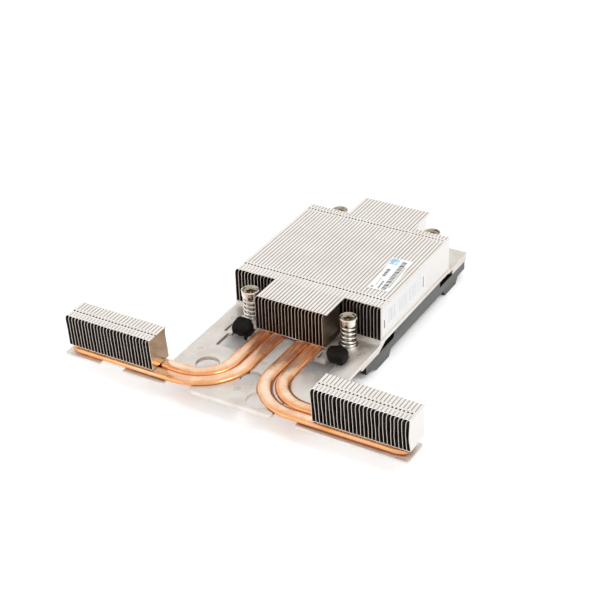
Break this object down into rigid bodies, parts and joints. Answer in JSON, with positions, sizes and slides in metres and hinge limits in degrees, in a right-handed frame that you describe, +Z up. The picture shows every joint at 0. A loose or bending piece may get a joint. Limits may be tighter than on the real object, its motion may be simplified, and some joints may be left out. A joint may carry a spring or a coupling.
{
  "type": "passive server cpu heatsink",
  "caption": "Low passive processor heatsink with a finned block, flattened heat pipes running to remote fin blocks, and sprung captive screws.",
  "frame": {"origin": "middle of the screw pattern, on the copper face that touches the processor", "axes": "+X across the fins to the right, +Y along the air flow towards the rear, away from the heat pipes' bends, +Z up, away from the processor"},
  "size_m": [0.19, 0.1774, 0.0338],
  "materials": {
    "nickel_casting": "satin nickel plating",
    "copper": "machined copper",
    "copper_pipe": "drawn copper, slightly dulled",
    "fin_aluminium": "bright sheet",
    "tray_nickel": "satin nickel plating",
    "screw_steel": "turned and plated",
    "spring_steel": "plated spring wire",
    "black_plastic": "moulded, matte",
    "label_paper": "printed sticker"
  },
  "bodies": {
    "heatsink": {"base_plate": "nickel_casting", "cold_plate": "copper", "under_frame": "black_plastic", "heat_pipe_left_outer": "copper_pipe", "heat_pipe_left_inner": "copper_pipe", "heat_pipe_right_outer": "copper_pipe", "heat_pipe_right_inner": "copper_pipe", "fins_left_wing": "fin_aluminium", "fins_centre": "fin_aluminium", "fins_right_wing": "fin_aluminium", "fins_remote_left": "fin_aluminium", "fins_remote_right": "fin_aluminium", "tray_left": "tray_nickel", "tray_right": "tray_nickel", "label_top": "label_paper", "label_side": "label_paper", "washer_front_left": "spring_steel", "spring_front_left": "spring_steel", "washer_front_right": "spring_steel", "spring_front_right": "spring_steel", "washer_rear_left": "spring_steel", "spring_rear_left": "spring_steel", "washer_rear_right": "spring_steel", "spring_rear_right": "spring_steel"},
    "carrier_front_left": {"ring_front_left": "spring_steel"},
    "fastener_front_left": {"screw_front_left": "screw_steel"},
    "carrier_front_right": {"ring_front_right": "spring_steel"},
    "fastener_front_right": {"screw_front_right": "screw_steel"},
    "carrier_rear_left": {"ring_rear_left": "spring_steel"},
    "fastener_rear_left": {"screw_rear_left": "screw_steel"},
    "carrier_rear_right": {"ring_rear_right": "spring_steel"},
    "fastener_rear_right": {"screw_rear_right": "screw_steel"}
  },
  "joints": [
    {"name": "press_front_left", "type": "slide", "parent": "heatsink", "child": "carrier_front_left", "axis": [0, 0, -1], "range_m": [0, 0.003], "stiffness_N_per_m": 4000, "springref_m": -0.003, "deforming": ["spring_front_left"]},
    {"name": "turn_front_left", "type": "hinge", "parent": "carrier_front_left", "child": "fastener_front_left", "pos_m": [-0.028, -0.047, 0], "axis": [0, 0, 1], "continuous": true},
    {"name": "press_front_right", "type": "slide", "parent": "heatsink", "child": "carrier_front_right", "axis": [0, 0, -1], "range_m": [0, 0.003], "stiffness_N_per_m": 4000, "springref_m": -0.003, "deforming": ["spring_front_right"]},
    {"name": "turn_front_right", "type": "hinge", "parent": "carrier_front_right", "child": "fastener_front_right", "pos_m": [0.028, -0.047, 0], "axis": [0, 0, 1], "continuous": true},
    {"name": "press_rear_left", "type": "slide", "parent": "heatsink", "child": "carrier_rear_left", "axis": [0, 0, -1], "range_m": [0, 0.003], "stiffness_N_per_m": 4000, "springref_m": -0.003, "deforming": ["spring_rear_left"]},
    {"name": "turn_rear_left", "type": "hinge", "parent": "carrier_rear_left", "child": "fastener_rear_left", "pos_m": [-0.028, 0.047, 0], "axis": [0, 0, 1], "continuous": true},
    {"name": "press_rear_right", "type": "slide", "parent": "heatsink", "child": "carrier_rear_right", "axis": [0, 0, -1], "range_m": [0, 0.003], "stiffness_N_per_m": 4000, "springref_m": -0.003, "deforming": ["spring_rear_right"]},
    {"name": "turn_rear_right", "type": "hinge", "parent": "carrier_rear_right", "child": "fastener_rear_right", "pos_m": [0.028, 0.047, 0], "axis": [0, 0, 1], "continuous": true}
  ]
}
